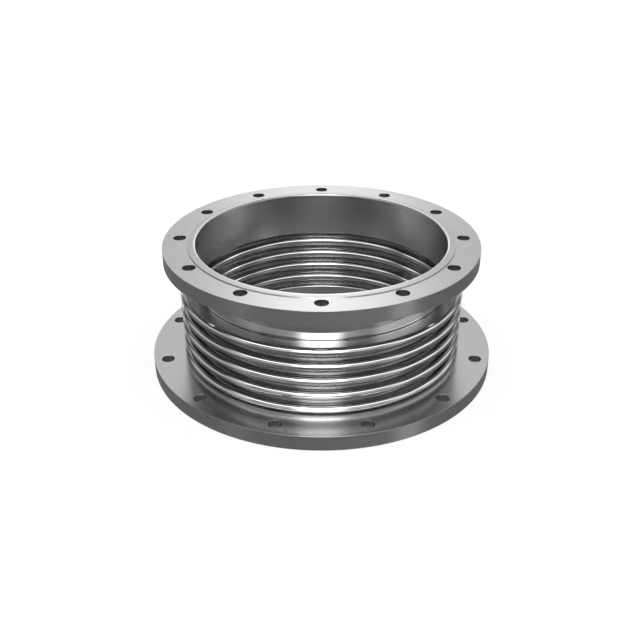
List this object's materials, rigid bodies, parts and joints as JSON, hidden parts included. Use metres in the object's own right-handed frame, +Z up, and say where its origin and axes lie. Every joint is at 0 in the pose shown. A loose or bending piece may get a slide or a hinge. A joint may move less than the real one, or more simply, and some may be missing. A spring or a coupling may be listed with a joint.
{
  "type": "exhaust bellows",
  "caption": "Exhaust bellows: a folded steel sleeve with a plain collar joins two drilled ring flanges, the lower one wider, and is turned over the upper one as a lip.",
  "frame": {"origin": "centre of the duct in the plane of the lower flange's underside", "axes": "+Z up along the duct's axis, from the wide flange to the narrow one; -Y is the front, where the upper flange has a bolt hole"},
  "size_m": [0.4899, 0.49, 0.1837],
  "materials": {
    "flange_steel": "turned, satin",
    "sleeve_steel": "bright, formed sheet",
    "weld_steel": "as welded, rippled"
  },
  "bodies": {
    "root": {"upper_flange": "flange_steel", "bellows_sleeve": "sleeve_steel", "lower_flange": "flange_steel", "upper_fillet_weld": "weld_steel", "lower_seal_weld": "weld_steel"}
  },
  "joints": []
}
